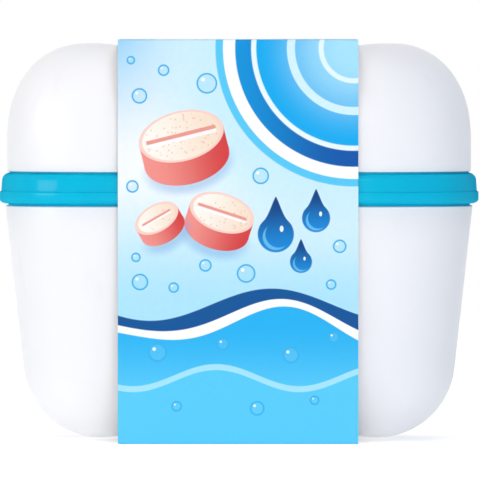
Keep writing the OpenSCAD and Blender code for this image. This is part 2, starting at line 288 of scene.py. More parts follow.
def connect(wire, shader, **links):
    """Links values to the shader's sockets of those names."""
    for key, value in links.items():
        wire.tree.links.new(value.socket, shader.inputs[key.replace("_", " ")])


def bump(wire, height, distance, strength):
    """The surface raised by height times distance in metres."""
    return wire.node("Bump", {}, {"Height": height, "Distance": distance, "Strength": strength})


def moulded_white():
    """Satin white polypropylene: faint cloudiness, a fine moulded grain and a few dull rubs."""
    made, wire, shader = material("white_polypropylene", IOR=1.49)
    cloud = noise(wire, 45, 4)
    rub = noise(wire, 160, 5, (1, 1, 0.25)).step(0.58, 0.75)
    base = wire.tint(cloud.step(0.3, 0.7), (*white, 1), (*white_cloud, 1))
    base = wire.tint(0.5 * rub, base, (*white_rub, 1))
    grain = noise(wire, 2600, 2)
    flow = noise(wire, 120, 2, (1, 1, 0.4))
    connect(wire, shader, Base_Color=base, Roughness=0.34 + 0.05 * cloud + 0.07 * rub,
            Normal=bump(wire, grain + 2.5 * flow, 0.00002, 0.35))
    return made


white_plastic = moulded_white()
tub.data.materials.append(white_plastic)
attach(tub, "tub_body")
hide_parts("tub")


# Lower ring. Turquoise polypropylene, moulded on its own and pressed over the tub's neck, with
# a skirt that closes the seam over the tub's shoulder. Behind it carries the outer hinge
# knuckles, and in front the rib that the catch snaps under.
ring_bore = 1.86 * MM
skirt_inset = 1.76 * MM
skirt_gap = 0.02 * MM
lower_edge = 0.28 * MM
under_wide = 1.45 * MM
under_high = 0.85 * MM
under_lift = 0.25 * MM
hinge = Vector(frame["joints"][0]["pos_m"])
knuckle_r = 1.8 * MM
parting_z = ring_high.z - knuckle_r
knuckle_l = 3.3 * MM
knuckle_gap = 0.3 * MM
knuckle_start = 3 * MM
knuckle_soft = 0.15 * MM
bore_r = 0.82 * MM
leaf_t = 1.6 * MM
leaf_play = 0.1 * MM
leaf_reach = 4.3 * MM
front_y = middle_y - half_d + pinch
rib_half = 4 * MM
rib_out = front_y - 1.3 * MM
rib_in = front_y + 0.8 * MM
rib_low = parting_z - MM
rib_high = parting_z - 0.1 * MM
rib_round = 0.2 * MM
turquoise = (0.0, 0.515, 0.755)
turquoise_deep = (0.0, 0.47, 0.705)
gloss_weight = 0.24


def band(rows):
    """A ring swept round the plan from a closed loop of rows: its points and faces."""
    grid = rings(rows)
    return grid.reshape(-1, 3), quads(len(rows), columns, wrap_rows=True)


def bored(outline, bore, low_x, high_x, soft):
    """A bored plate across x from low_x to high_x, with its edges eased by soft. outline holds
    [y, z] points about the bore's middle, and each bore point lies at its outline point's angle."""
    outline = np.asarray(outline)
    away = outline / np.linalg.norm(outline, axis=1, keepdims=True)
    loops = [(low_x, outline - soft * away), (low_x + soft, outline),
             (high_x - soft, outline), (high_x, outline - soft * away),
             (high_x, (bore + soft) * away), (high_x - soft, bore * away),
             (low_x + soft, bore * away), (low_x, (bore + soft) * away)]
    points = [np.column_stack([np.full(len(p), x), p]) for x, p in loops]
    return np.vstack(points), quads(len(loops), len(outline), wrap_rows=True)


def knuckle(x, side):
    """A knuckle with its leaf: a circle about the axis, run on into the leaf's slab towards the
    ring. side is -1 for a leaf below the joint and 1 for one above it."""
    slab = np.array([leaf_play, leaf_t + leaf_play])
    near, far = np.pi + np.arcsin(slab / knuckle_r)
    turn = np.linspace(far, near + 2 * np.pi, 72)
    circle = knuckle_r * np.column_stack([np.cos(turn), np.sin(turn)])
    leaf = [(-leaf_reach, -slab[0]), (-leaf_reach, -slab[1])]
    outline = np.vstack([circle, leaf]) * (1, -side)
    points, faces = bored(outline, bore_r, x, x + knuckle_l, knuckle_soft)
    return points + (0, hinge.y, parting_z), faces


def soft_block(low, high, radius):
    """A block with round edges: each face of a cube is a grid, pushed out from the block's core by
    radius along the cube's own direction made a unit vector."""
    low, high = np.array(low), np.array(high)
    core_low, core_high = low + radius, high - radius
    edge_steps = 10
    line = np.tan(np.linspace(-np.pi / 4, np.pi / 4, edge_steps))
    u, v = np.meshgrid(line, line, indexing="ij")
    w = np.ones_like(u)
    points, faces = [], []
    for side in (0, 1, 2):
        for sign in (1.0, -1.0):
            cube = np.roll(np.stack([w * sign, u, v * sign], -1), side, axis=-1)
            unit = cube / np.linalg.norm(cube, axis=-1, keepdims=True)
            core = np.where(cube > 0, core_high, core_low)
            k = np.arange(edge_steps ** 2).reshape(edge_steps, edge_steps)
            face = np.stack([k[:-1, :-1], k[1:, :-1], k[1:, 1:], k[:-1, 1:]], -1).reshape(-1, 4)
            faces.append(face + sum(len(p) for p in points))
            points.append((core + radius * unit).reshape(-1, 3))
    return np.vstack(points), np.vstack(faces)


def joined(parts):
    """Points and faces of several closed shapes as one list of each."""
    points, faces, count = [], [], 0
    for p, f in parts:
        points.append(p)
        faces += [[int(v) + count for v in face] for face in f]
        count += len(p)
    return np.vstack(points), faces


def knuckle_x(slot_number, side):
    """Low end of one of the three knuckles of a hinge: side is 1 to the right and -1 to the left."""
    start = knuckle_start + slot_number * (knuckle_l + knuckle_gap)
    return start if side > 0 else -start - knuckle_l


lower_section = (
    arc(lower_edge, parting_z - lower_edge, lower_edge, 90, 0, 5)
    + arc(under_wide, shoulder_z + under_lift + under_high, (under_wide, under_high), 0, -90, 12)
    + [(skirt_inset, shoulder_z + under_lift, 1, 0), (skirt_inset, tub_top + skirt_gap, 1, 0),
       (ring_bore, tub_top + skirt_gap, 1, 0), (ring_bore, parting_z, 1, 0)])
rib = soft_block((-rib_half, rib_out, rib_low), (rib_half, rib_in, rib_high), rib_round)
outer_knuckles = [knuckle(knuckle_x(k, s), -1) for s in (1, -1) for k in (0, 2)]
lower_ring = piece("tub_ring", *joined([band(lower_section), rib, *outer_knuckles]))


def moulded_turquoise(name, colour, deep, roughness, gloss):
    """Turquoise polypropylene: slightly cloudy pigment that is duller in places, a fine moulding
    grain, and a gloss that fades where the surface turns away."""
    made, wire, shader = material(name, IOR=1.49, Specular_IOR_Level=0.0, Coat_IOR=1.5,
                                  Coat_Roughness=gloss)
    turned_away = wire.node("LayerWeight", {}, {"Blend": 0.5}, out="Facing")
    cloud = noise(wire, 60, 3)
    base = wire.tint(cloud.step(0.3, 0.72), (*colour, 1), (*deep, 1))
    grain = noise(wire, 2200, 2)
    flow = noise(wire, 150, 2, (0.4, 0.4, 1))
    connect(wire, shader, Base_Color=base, Roughness=roughness + 0.08 * cloud,
            Coat_Weight=gloss_weight * (1 - turned_away),
            Normal=bump(wire, grain + 2 * flow, 0.00002, 0.3))
    return made


ring_plastic = moulded_turquoise("turquoise_ring", turquoise, turquoise_deep, 0.28, 0.12)
lower_ring.data.materials.append(ring_plastic)
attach(lower_ring, "tub_body")
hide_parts("tub_collar")


# Lid. The same white polypropylene: an upright wall that turns over in a full round corner
# to a roof with the same two lobes. Its neck plugs down into the upper ring, and its lower
# edge is eased, so that a thin dark seam shows over the ring.
neck_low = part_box("lid")[0].z
lid_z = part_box("lid_collar")[1].z
lid_inset = 1.5 * MM
lid_neck_inset = 2.2 * MM
lid_wall_h = 6.4 * MM
corner_run = 16.2 * MM
corner_power = 2.2
lip_wide = 0.65 * MM
lip_high = 0.25 * MM
roof_top = lid_z + 25.7 * MM


def lid_rows(t):
    """Rows up the lid's wall, round its corner and over the roof, t inside the surface. The corner
    is a superellipse: run and rise times cosine and sine to the power 2 / corner_power."""
    start = lid_z + lid_wall_h
    run, rise = corner_run - t, roof_top - start - t
    turns = np.linspace(0, np.pi / 2, 26)
    wall_rows = [(lid_inset + t, lid_z + lid_wall_h * k, 1, 0) for k in (0.3, 0.65)]
    corner = [(lid_inset + t + run * (1 - math.cos(a) ** (2 / corner_power)),
               start + rise * math.sin(a) ** (2 / corner_power), 1, -dip * math.sin(a) ** 4)
              for a in turns]
    roof = [(lid_inset + t + run, start + rise, s, -dip) for s in level_shares]
    return wall_rows + corner + roof


lid_rim = (
    arc(lid_inset + lip_wide, lid_z + lip_high, (lip_wide, lip_high), 0, -90, 8)
    + [(lid_neck_inset, lid_z, 1, 0), (lid_neck_inset, neck_low + neck_round, 1, 0)]
    + arc(lid_neck_inset + neck_round, neck_low + neck_round, neck_round, -15, -90, 4)
    + [(lid_inset + wall, neck_low, 1, 0)])
lid = shell("lid_shell", lid_rows(0), lid_rows(wall), lid_rim)
lid.data.materials.append(white_plastic)
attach(lid, "lid_body")
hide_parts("lid")


# Upper ring. The same turquoise moulding, pressed over the lid's neck, with a seat and a small
# groove that close the seam under the lid. It carries the lid's middle knuckles behind, and in
# front the thumb tab with a tongue that hangs over the joint and snaps under the lower rib.
ring_step = 0.32 * MM
upper_edge = 0.02 * MM
upper_wide = 1.55 * MM
upper_high = 1.5 * MM
upper_draft = math.radians(4)
upper_crown = 79
upper_flank = (1.4 * MM, 0.3 * MM)
ring_drop = 0.25 * MM
ring_top = lid_z - ring_drop
rebate_play = 0.1 * MM
rebate_z = neck_low - rebate_play
ring_gap = 1.8 * MM
socket_inset = 2.16 * MM
seat_groove = 0.28 * MM
tab_half = 8 * MM
tab_out = front_y - 3.2 * MM
tab_in = front_y + 1.2 * MM
tab_margin = 0.3 * MM
tab_round = 1.1 * MM
tongue_half = 5 * MM
tongue_out = front_y - 2.7 * MM
tongue_in = front_y - 1.5 * MM
tongue_top = parting_z + 1.5 * MM
tongue_round = 0.3 * MM
bead_half = tongue_half - MM
bead_z = parting_z - 2.05 * MM
bead_high = 0.9 * MM
bead_out = tongue_in - 0.5 * MM
bead_in = tongue_in + 0.6 * MM

upper_lean = math.tan(upper_draft)
upper_centre = upper_wide + ring_step + (ring_top - upper_high - parting_z) * upper_lean
upper_start = math.degrees(math.atan(upper_lean * upper_high / upper_wide))
upper_section = (
    arc(upper_centre, ring_top - upper_high, (upper_wide, upper_high), upper_crown, upper_start, 12)
    + [(ring_step + k * upper_lean, parting_z + k, 1, 0) for k in upper_flank]
    + arc(ring_step + upper_edge, parting_z + upper_edge, upper_edge, 0, -90, 4)
    + [(ring_gap, parting_z, 1, 0), (ring_gap, rebate_z, 1, 0),
       (socket_inset, rebate_z, 1, 0), (socket_inset, lid_z - skirt_gap, 1, 0),
       (upper_centre, lid_z - skirt_gap, 1, 0), (upper_centre, ring_top - seat_groove, 1, 0),
       (upper_centre - seat_groove, ring_top - seat_groove, 1, 0)])
tab = soft_block((-tab_half, tab_out, parting_z + tab_margin),
                 (tab_half, tab_in, lid_z - tab_margin), tab_round)
tongue = soft_block((-tongue_half, tongue_out, bead_z - tongue_round),
                    (tongue_half, tongue_in, tongue_top), tongue_round)
bead = soft_block((-bead_half, bead_out, bead_z), (bead_half, bead_in, bead_z + bead_high), tongue_round)
middle_knuckles = [knuckle(knuckle_x(1, s), 1) for s in (1, -1)]
upper_ring = piece("lid_ring", *joined([band(upper_section), tab, tongue, bead, *middle_knuckles]))
upper_ring.data.materials.append(ring_plastic)
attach(upper_ring, "lid_body")
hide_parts("lid_collar")


# Hinge pins. Short lengths of drawn steel wire, one on each side. They are pressed through the
# tub ring's knuckles from the outer end, where a low domed head stops them, and the lid's
# knuckles turn on them.
pin_r = 0.8 * MM
pin_head_r = 1.3 * MM
pin_head_t = 0.6 * MM
pin_bevel = 0.2 * MM
head_bevel = 0.1 * MM
dome_start = 0.2 * MM
dome_rise = 0.4 * MM
pin_low, pin_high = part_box("hinge_pin_right")
steel = (0.62, 0.63, 0.65)
steel_line = (0.48, 0.49, 0.51)


def turned(profile, middle):
    """A solid turned about a line along x through middle, from [x, radius] points that start and
    end on the line."""
    profile = np.asarray(profile)
    steps = 48
    turn = np.linspace(0, 2 * np.pi, steps, endpoint=False)
    x, r = profile[:, 0, None], profile[:, 1, None]
    grid = np.stack([x + 0 * turn, r * np.cos(turn), r * np.sin(turn)], -1) + np.asarray(middle)
    return grid.reshape(-1, 3), quads(len(profile), steps)


def hinge_pin(name, node, side):
    """A pin on one side: a bevelled shank, then a head whose dome is a quarter of an ellipse."""
    shank_end = pin_high.x - pin_head_t
    turns = np.linspace(0, np.pi / 2, 9)
    dome = [(shank_end + dome_start + dome_rise * math.sin(a), pin_head_r * math.cos(a)) for a in turns]
    profile = [(pin_low.x, 0), (pin_low.x, pin_r - pin_bevel), (pin_low.x + pin_bevel, pin_r),
               (shank_end, pin_r), (shank_end, pin_head_r - head_bevel),
               (shank_end + head_bevel, pin_head_r), *dome]
    points, faces = turned(profile, (0, hinge.y, parting_z))
    pin = piece(name, points * (side, 1, 1), faces)
    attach(pin, "tub_body")
    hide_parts(node)
    return pin


def drawn_steel():
    """Plain steel wire: fine drawing lines along the pin that vary the gloss and the surface."""
    made, wire, shader = material("drawn_steel", Metallic=1.0)
    lines = noise(wire, 3000, 3, (0.02, 1, 1))
    base = wire.tint(lines, (*steel, 1), (*steel_line, 1))
    connect(wire, shader, Base_Color=base, Roughness=0.22 + 0.16 * lines,
            Normal=bump(wire, lines, 0.00001, 0.3))
    return made


pin_steel = drawn_steel()
for name, node, side in (("pin_left", "hinge_pin_left", -1), ("pin_right", "hinge_pin_right", 1)):
    hinge_pin(name, node, side).data.materials.append(pin_steel)


# Basket. A strainer in matte turquoise: a drafted wall with two tiers of round-ended slots and
# two rings of slots in its floor. Its flange hangs on the tub's neck, and two lugs hold the bail.
basket_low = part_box("basket")[0]
basket_wall = 1.3 * MM
basket_inset = 4.6 * MM
basket_depth = 36 * MM
basket_corner = 8 * MM
flange_t = 1.2 * MM
flange_inset = 2.2 * MM
lip_inset = 3.5 * MM
flange_z = basket_low.z + basket_depth
flange_back = hinge.y - 25 * MM
flange_run = 1.5 * MM
basket_round = 0.3 * MM
tiles = 36
tile_side = columns // tiles
tile_turn = 360 / tiles
tile_first = 2.5
slot_half = 1.8
slot_round = 1.5
slot_share = 0.5
pivot_rise = 3.2 * MM
pivot_z = flange_z + pivot_rise
lug_x = 42.4 * MM
lug_t = 1.9 * MM
lug_r = 2.2 * MM
lug_bore = 1.05 * MM
lug_foot = 0.5 * MM
lug_soft = 0.2 * MM
drop = flange_z - (basket_low.z + basket_corner)
basket_blue = (0.02, 0.505, 0.67)
basket_deep = (0.015, 0.455, 0.615)


def basket_profile(p, t):
    """Inset, height and share of the basket's wall at p, a depth t inside its outer surface: p is
    0 to 1 down the drafted wall, 1 to 2 round the corner and 2 to 3 across the floor."""
    r = basket_corner - t
    down = np.clip(p, 0, 1) * drop
    a = tub_draft + (np.pi / 2 - tub_draft) * np.clip(p - 1, 0, 1)
    turned_in = p > 1
    inset = basket_inset + t + down * math.tan(tub_draft) + np.where(turned_in, r * (1 - np.cos(a)), 0)
    z = flange_z - down - np.where(turned_in, r * np.sin(a), 0)
    return inset, z, 1 - np.clip(p - 2, 0, 1)


def basket_points(angle, p, t):
    """Points of the basket's surface at angles round the plan and places p down the profile."""
    inset, z, share = basket_profile(np.asarray(p, float), np.asarray(t, float))
    x, y = plan(np.asarray(angle), inset)
    return np.stack(np.broadcast_arrays(x * share, y * share + middle_y, z), -1)


def slotted_tier(p_low, p_high, hole_low, hole_high, length):
    """One tier of tiles with a round-ended slot in each. In a tile's own square, a border point b
    has its slot point at core + slot_round * b / |b|, in millimetres, and loops between them run
    from the outer surface over the slot's soft lip and through the wall to the inner surface."""
    line = np.linspace(-1, 1, tile_side + 1)[:-1]
    one = np.ones_like(line)
    border = np.concatenate([np.column_stack([line, -one]), np.column_stack([one, line]),
                             np.column_stack([-line, one]), np.column_stack([-one, -line])])
    half = np.array([slot_half, length / 2 / MM])
    unit = border / np.linalg.norm(border, axis=1, keepdims=True)
    slot = (np.sign(border) * (half - slot_round) + slot_round * unit) / half
    middle, reach = (hole_low + hole_high) / 2, (hole_high - hole_low) / 2
    span = (p_high - p_low) / 2
    slot = np.column_stack([slot[:, 0] * slot_share, (middle + slot[:, 1] * reach - p_low) / span - 1])
    lip = basket_round
    loops = [(1, 0), (0.55, 0), (0.16, 0), (0.05, 0.3 * lip), (0, lip),
             (0, basket_wall - lip), (0.05, basket_wall - 0.3 * lip), (0.16, basket_wall),
             (0.55, basket_wall), (1, basket_wall)]
    out, faces = [], []
    count = len(border)
    for k in range(tiles):
        for away, t in loops:
            s, q = (slot + (border - slot) * away).T
            angle = math.radians(tile_first + tile_turn * k) + math.radians(tile_turn / 2) * s
            out.append(basket_points(angle, p_low + (q + 1) * span, t))
        faces.append(quads(len(loops), count) + k * len(loops) * count)
    return np.vstack(out), np.vstack(faces)


round_turn = (math.radians(tile_first - tile_turn / 2)
              + np.linspace(0, 2 * np.pi, columns, endpoint=False))


def basket_strip(p_values, t):
    """A plain strip of the basket's surface, at one depth, that meets the tiles' borders."""
    grid = basket_points(round_turn[None, :], np.asarray(p_values)[:, None], t)
    return grid.reshape(-1, 3), quads(len(p_values), columns)


def hub(p, t):
    """The middle of the floor: a fan from a last ring to a point."""
    ring = basket_points(round_turn, p, t)
    centre = ring.mean(axis=0) * (0, 0, 1) + (0, middle_y, 0)
    k = np.arange(columns)
    return np.vstack([ring, centre]), np.stack([k, (k + 1) % columns, np.full(columns, columns)], -1)


def basket_rim():
    """The rim over the wall, with the flange's outline: flange_inset in front and at the sides,
    and lip_inset behind flange_back, with a short smooth run between."""
    angle = round_turn
    behind = np.clip((plan(angle, flange_inset)[1] + middle_y - flange_back) / flange_run + 1, 0, 1)
    reach = flange_inset + (lip_inset - flange_inset) * behind * behind * (3 - 2 * behind)
    top = flange_z + flange_t
    soft, eased = basket_round, 0.3 * basket_round
    bore = basket_inset + basket_wall
    rows = [(basket_inset, flange_z), (reach + soft, flange_z), (reach + eased, flange_z + eased),
            (reach, flange_z + soft), (reach, top - soft), (reach + eased, top - eased),
            (reach + soft, top), (bore - soft, top), (bore - eased, top - eased),
            (bore, top - soft), (bore, flange_z)]
    grid = []
    for inset, z in rows:
        x, y = plan(angle, inset)
        grid.append(np.column_stack([x, y + middle_y, np.full(columns, z)]))
    return np.vstack(grid), quads(len(rows), columns)


def lug(side):
    """A lug on the flange: an arch about the pivot that stands on a straight foot."""
    turn = np.linspace(0, np.pi, 33)
    arch = lug_r * np.column_stack([np.cos(turn), np.sin(turn)])
    foot = flange_z + lug_foot - pivot_z
    outline = np.vstack([arch, [(-lug_r, foot), (0, foot), (lug_r, foot)]])
    points, faces = bored(outline, lug_bore, lug_x, lug_x + lug_t, lug_soft)
    return (points + (0, middle_y, pivot_z)) * (side, 1, 1), faces


def down_wall(height):
    """Where on the wall's run of 0 to 1 a height lies."""
    return (flange_z - height) / drop


slot_margin = 3 * MM
tier_gap = MM
zone = basket_depth - basket_corner - 2 * slot_margin
slot_1 = (flange_z - slot_margin, flange_z - slot_margin - zone / 2 + tier_gap)
slot_2 = (slot_1[0] - zone / 2 - tier_gap, slot_1[1] - zone / 2 - tier_gap)
between = down_wall((slot_1[1] + slot_2[0]) / 2)
floor_slot = 6.6 * MM
floor_outer, floor_between, floor_inner, floor_hub = 2.06, 2.41, 2.74, 2.9
tiers = [
    slotted_tier(0, between, down_wall(slot_1[0]), down_wall(slot_1[1]), slot_1[0] - slot_1[1]),
    slotted_tier(between, 1, down_wall(slot_2[0]), down_wall(slot_2[1]), slot_2[0] - slot_2[1]),
    slotted_tier(floor_outer, floor_between, 2.14, 2.36, floor_slot),
    slotted_tier(floor_between, floor_inner, 2.46, 2.68, floor_slot)]
corner_run_p = np.concatenate([np.linspace(1, 2, 12), [floor_outer]])
middle_run_p = [floor_inner, (floor_inner + floor_hub) / 2, floor_hub]
corner_strips = [basket_strip(corner_run_p, t) for t in (0, basket_wall)]
middle_strips = [basket_strip(middle_run_p, t) for t in (0, basket_wall)]
hubs = [hub(floor_hub, t) for t in (0, basket_wall)]
basket = piece("basket_strainer", *joined(
    [*tiers, *corner_strips, *middle_strips, *hubs, basket_rim(), lug(1), lug(-1)]))
basket_plastic = moulded_turquoise("turquoise_basket", basket_blue, basket_deep, 0.42, 0.3)
basket.data.materials.append(basket_plastic)
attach(basket, "basket_body")
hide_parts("basket")


# Handle. The basket's bail, moulded in the same turquoise: a U of flat strip with a thicker
# grip. Its round pins snap into the lugs, so it folds down onto the rim and swings up through
# a quarter turn.
bail_x = 42.1 * MM
bail_l = 15 * MM
bail_t = 2 * MM
bail_w = 2.6 * MM
bail_corner = 7 * MM
bail_pin_r = MM
bail_pin_l = 2.1 * MM
bail_soft = 0.5 * MM
boss_soft = 0.3 * MM
bail_pin_soft = 0.2 * MM
grip_r = 1.7 * MM
grip_half = 12 * MM


def bail_strip():
    """The U swept with a soft-cornered strip: straight arms, two quarter circles of radius
    bail_corner and a straight front, with the strip's thin side across the path."""
    half = bail_x - bail_t / 2
    turn = np.linspace(0, np.pi / 2, 14)
    right = [(half, 0), (half, -(bail_l - bail_corner) / 2)]
    right += [(half - bail_corner * (1 - math.cos(a)), -bail_l + bail_corner * (1 - math.sin(a)))
              for a in turn]
    path = np.array(right + [(-x, y) for x, y in right[::-1]])
    ahead = np.gradient(path, axis=0)
    ahead /= np.linalg.norm(ahead, axis=1, keepdims=True)
    side = np.column_stack([-ahead[:, 1], ahead[:, 0]])
    corner = np.linspace(0, np.pi / 2, 5)
    section = []
    for sx, sz, first in ((1, 1, 0), (-1, 1, 1), (-1, -1, 2), (1, -1, 3)):
        for a in corner + first * np.pi / 2:
            section.append((sx * (bail_t / 2 - bail_soft) + bail_soft * math.cos(a),
                            sz * (bail_w / 2 - bail_soft) + bail_soft * math.sin(a)))
    section = np.array(section)
    grid = np.empty((len(path), len(section), 3))
    grid[..., :2] = path[:, None] + side[:, None] * section[None, :, :1]
    grid[..., 2] = section[None, :, 1]
    n = len(section)
    caps = [list(range(n)), [len(path) * n - 1 - k for k in range(n)]]
    return grid.reshape(-1, 3), [*quads(len(path), n).tolist(), *caps]


def rounded_rod(low_x, high_x, radius, soft):
    """A rod's profile from low_x to high_x with a quarter circle of radius soft at each end."""
    turn = np.linspace(0, np.pi / 2, 6)
    head = [(low_x + soft * (1 - math.sin(a)), radius - soft * (1 - math.cos(a))) for a in turn[::-1]]
    tail = [(high_x - soft * (1 - math.sin(a)), radius - soft * (1 - math.cos(a))) for a in turn]
    return [(low_x, 0), *head, *tail, (high_x, 0)]


handle_parts = [bail_strip(), turned(rounded_rod(-grip_half, grip_half, grip_r, MM), (0, -bail_l, 0))]
for side in (1, -1):
    for low_x, high_x, radius, soft in (
            (bail_x - bail_t, bail_x, bail_w / 2, boss_soft),
            (bail_x - bail_t / 2, bail_x + bail_pin_l, bail_pin_r, bail_pin_soft)):
        points, faces = turned(rounded_rod(low_x, high_x, radius, soft), (0, 0, 0))
        handle_parts.append((points * (side, 1, 1), faces))
points, faces = joined(handle_parts)
handle = piece("basket_bail", points + (0, middle_y, pivot_z), faces)
handle.data.materials.append(basket_plastic)
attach(handle, "handle_body")
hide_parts("basket_handle")


# Sleeve. A tube of coated card round the middle, folded along four soft creases and glued by a
# flap inside the bottom. Its edges and inside are raw grey-white board, and its outside is
# printed in blues, white and coral. It slides off sideways before the lid is opened.
sleeve_low, sleeve_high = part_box("card_sleeve")
card = 0.4 * MM
crease = 0.7 * MM
bow = 0.3 * MM
sleeve_half = (sleeve_high.x - sleeve_low.x) / 2
sleeve_x = (sleeve_high.x + sleeve_low.x) / 2
panel_h = sleeve_high.z - sleeve_low.z
panel_d = sleeve_high.y - sleeve_low.y
flap_w = 9 * MM
flap_round = 0.15 * MM
pulp = (0.80, 0.79, 0.75)
pulp_fibre = (0.70, 0.69, 0.65)


def sleeve_loop(inside):
    """The tube's outline in depth and height from the front's foot round to the bottom: panels
    joined by quarter circles. The front and the back lie on the rings, and bow in above and
    below them by bow times the sine squared. The top bows in by half that."""
    r = crease - inside
    y0, y1 = sleeve_low.y + inside, sleeve_high.y - inside
    z0, z1 = sleeve_low.z + inside, sleeve_high.z - inside
    run = np.linspace(0, 1, 41)
    ring_place = (parting_z - z0) / (z1 - z0)
    wave = np.where(run < ring_place, np.sin(np.pi * run / ring_place) ** 2,
                    np.sin(np.pi * (run - ring_place) / (1 - ring_place)) ** 2)
    upright = z0 + r + (z1 - z0 - 2 * r) * run
    level = y0 + r + (y1 - y0 - 2 * r) * run
    hollow = bow * np.sin(np.pi * run) ** 2
    panels = [np.column_stack([y0 + bow * wave, upright]),
              np.column_stack([level, z1 - 0.5 * hollow]),
              np.column_stack([y1 - bow * wave, upright])[::-1],
              np.column_stack([level, np.full_like(level, z0)])[::-1]]
    turn = np.linspace(0, np.pi / 2, 6)[1:-1]
    centres = [(y0 + r, z1 - r, np.pi), (y1 - r, z1 - r, np.pi / 2),
               (y1 - r, z0 + r, 0), (y0 + r, z0 + r, -np.pi / 2)]
    loop = []
    for panel, (cy, cz, first) in zip(panels, centres):
        fold = first - turn
        loop += [panel, np.column_stack([cy + r * np.cos(fold), cz + r * np.sin(fold)])]
    return np.vstack(loop)


def sleeve_surface():
    """The card between two outlines: stations across x for the outside and the inside, joined at
    the cut edges. The map for the print holds the corners of each outer face in millimetres:
    across from the middle, and round from the front's foot by arc length."""
    outer, inner = sleeve_loop(0), sleeve_loop(card)
    n = len(outer)
    across = np.linspace(-sleeve_half, sleeve_half, 25)
    grid = np.concatenate([
        np.stack([np.column_stack([np.full(n, x), outer]) for x in across + sleeve_x]),
        np.stack([np.column_stack([np.full(n, x), inner]) for x in across[::-1] + sleeve_x])])
    lengths = np.linalg.norm(np.roll(outer, -1, axis=0) - outer, axis=1)
    along = np.concatenate([[0], np.cumsum(lengths)])
    s, c = np.meshgrid(np.arange(len(across) - 1), np.arange(n), indexing="ij")
    corners = ((s, c), (s + 1, c), (s + 1, c + 1), (s, c + 1))
    print_map = np.stack([np.stack([across[i], along[k]], -1) for i, k in corners], 2) / MM
    return grid.reshape(-1, 3), quads(len(grid), n, wrap_rows=True), print_map.reshape(-1, 2)


points, faces, print_map = sleeve_surface()
flap = soft_block(
    (sleeve_low.x, sleeve_high.y - card - crease - flap_w, sleeve_low.z + card / 2),
    (sleeve_high.x, sleeve_high.y - card - crease, sleeve_low.z + 2 * card), flap_round)
points, faces = joined([(points, faces), flap])
mesh = bpy.data.meshes.new("sleeve_card")
mesh.from_pydata(points.tolist(), [], faces)
uv = np.zeros((len(mesh.loops), 2), np.float32)
uv[:len(print_map)] = print_map
mesh.uv_layers.new(name="print").data.foreach_set("uv", uv.ravel())
raw = np.arange(len(faces)) >= len(print_map) // 4
mesh.polygons.foreach_set("material_index", raw.astype(np.int32))
mesh.shade_smooth()
mesh.set_sharp_from_angle(angle=crisp)
sleeve = bpy.data.objects.new("sleeve_card", mesh)
bpy.context.scene.collection.objects.link(sleeve)


def ink(red, green, blue):
    """A printed colour from red, green and blue of 0 to 255, made linear."""
    return tuple(((c / 255 + 0.055) / 1.055) ** 2.4 if c > 10 else c / 255 / 12.92
                 for c in (red, green, blue)) + (1,)


paper = ink(255, 255, 255)
line_soft = 0.1
tablets = ((-11.3, 60.5, 8.6, 14), (-3.2, 45.3, 6.6, -18), (-16.2, 44.2, 4.7, 30))
drops = ((7.5, 41, 3.6), (15.5, 44.2, 2.8), (12.5, 35.5, 2.2))
bubbles = (
    (-19.5, 31.5, 1.5), (-6.5, 34.8, 1.1), (-20.3, 36.4, 0.8), (1.6, 33.2, 1.7), (20.2, 38.6, 1.2),
    (-12.8, 30.4, 0.9), (-21, 50.5, 1.1), (4.5, 52.6, 1.5), (18.5, 31.0, 0.9), (-19.6, 68.5, 1.4),
    (-14.8, 73.6, 1.0), (-6.2, 71.0, 1.9), (-21.3, 75.6, 0.7), (-16, 17.5, 1.7), (-3, 19.2, 1.1),
    (10.5, 17.0, 1.5), (19, 20.5, 1.0), (3.8, 6.4, 1.3), (-12.2, 6.8, 0.9), (15.2, 8.0, 0.8))


class PrintedSheet:
    """The sleeve's outside, with inks laid one over another. u runs across from the middle and v up
    from the front's foot, in millimetres. v turns back half way over the top, so the print runs
    on over the top and stands upright again on the back."""

    def __init__(self, wire, ground):
        self.wire = wire
        self.colour = ground
        self.place = wire.node("UVMap", {"uv_map": "print"})
        self.u = wire.node("SeparateXYZ", {}, {0: self.place}, out=0)
        along = wire.node("SeparateXYZ", {}, {0: self.place}, out=1)
        turn_over = (panel_h + panel_d / 2) / MM
        self.v = turn_over - abs(along - turn_over)

    def away(self, x, y, wide=1.0):
        """Distance from a point of the sheet, shorter across the sheet where wide is over 1."""
        across, up = (self.u - x) / wide, self.v - y
        return (across * across + up * up).maths("SQRT")

    def lay(self, share, colour):
        """Lays a colour over what is printed so far, by its share of 0 to 1."""
        self.colour = self.wire.tint(share, self.colour, colour)


def under(distance, edge, soft=0.12):
    """1 where a distance is under the edge and 0 where it is over it, with a soft step."""
    return 1 - distance.step(edge - soft, edge + soft)


def over(height):
    """1 where a height is over nought and 0 below it, with the print's own soft line."""
    return height.step(-line_soft, line_soft)


def print_pool(sheet):
    """The pool at the upper right: rings about a point, out from a bright heart, with the widest
    one fading into the sky."""
    pool = sheet.away(23, 78)
    rim = sheet.wire.tint(sheet.u.step(-6, 22), ink(10, 155, 224), ink(10, 87, 168))
    heart = sheet.wire.tint(pool.step(2, 19), ink(168, 228, 250), ink(18, 172, 238))
    sheet.lay(under(pool, 38, 9), ink(206, 240, 253))
    sheet.lay(under(pool, 27.5), ink(90, 203, 245))
    sheet.lay(under(pool, 26.0), paper)
    sheet.lay(under(pool, 23.6), rim)
    sheet.lay(under(pool, 20.4), ink(236, 250, 255))
    sheet.lay(under(pool, 19.4), heart)
    sheet.lay(under(abs(pool - 12.5), 0.8), ink(214, 244, 254))
    sheet.lay(under(abs(pool - 6.5), 0.5), ink(230, 249, 255))


